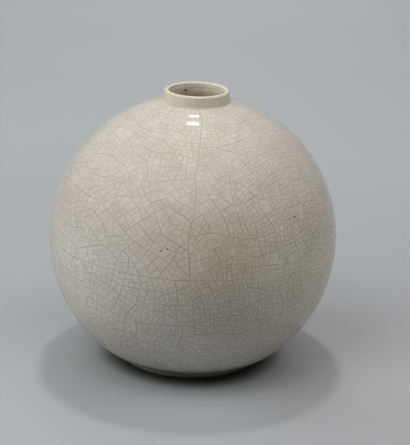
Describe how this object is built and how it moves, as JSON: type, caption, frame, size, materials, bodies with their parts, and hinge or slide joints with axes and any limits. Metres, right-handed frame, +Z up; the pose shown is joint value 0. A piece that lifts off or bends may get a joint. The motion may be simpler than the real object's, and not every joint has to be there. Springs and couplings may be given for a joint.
{
  "type": "globe vase",
  "caption": "Globe-shaped ceramic vase with a short collar neck, a rounded lip, a low foot ring and a pale crackle glaze, for holding stems.",
  "frame": {"origin": "centre of the foot, on the surface that the vase stands on", "axes": "+Z up along the axis of the vase; the vase is round about it"},
  "size_m": [0.22, 0.22, 0.2122],
  "materials": {
    "stoneware": "unglazed, turned",
    "crackle_glaze": "gloss crackle",
    "liner_glaze": "thin satin glaze"
  },
  "bodies": {
    "root": {"lower_bowl": "stoneware", "upper_dome": "stoneware", "neck_collar": "stoneware", "foot_ring": "stoneware", "outer_glaze": "crackle_glaze", "inner_glaze": "liner_glaze"}
  },
  "joints": []
}
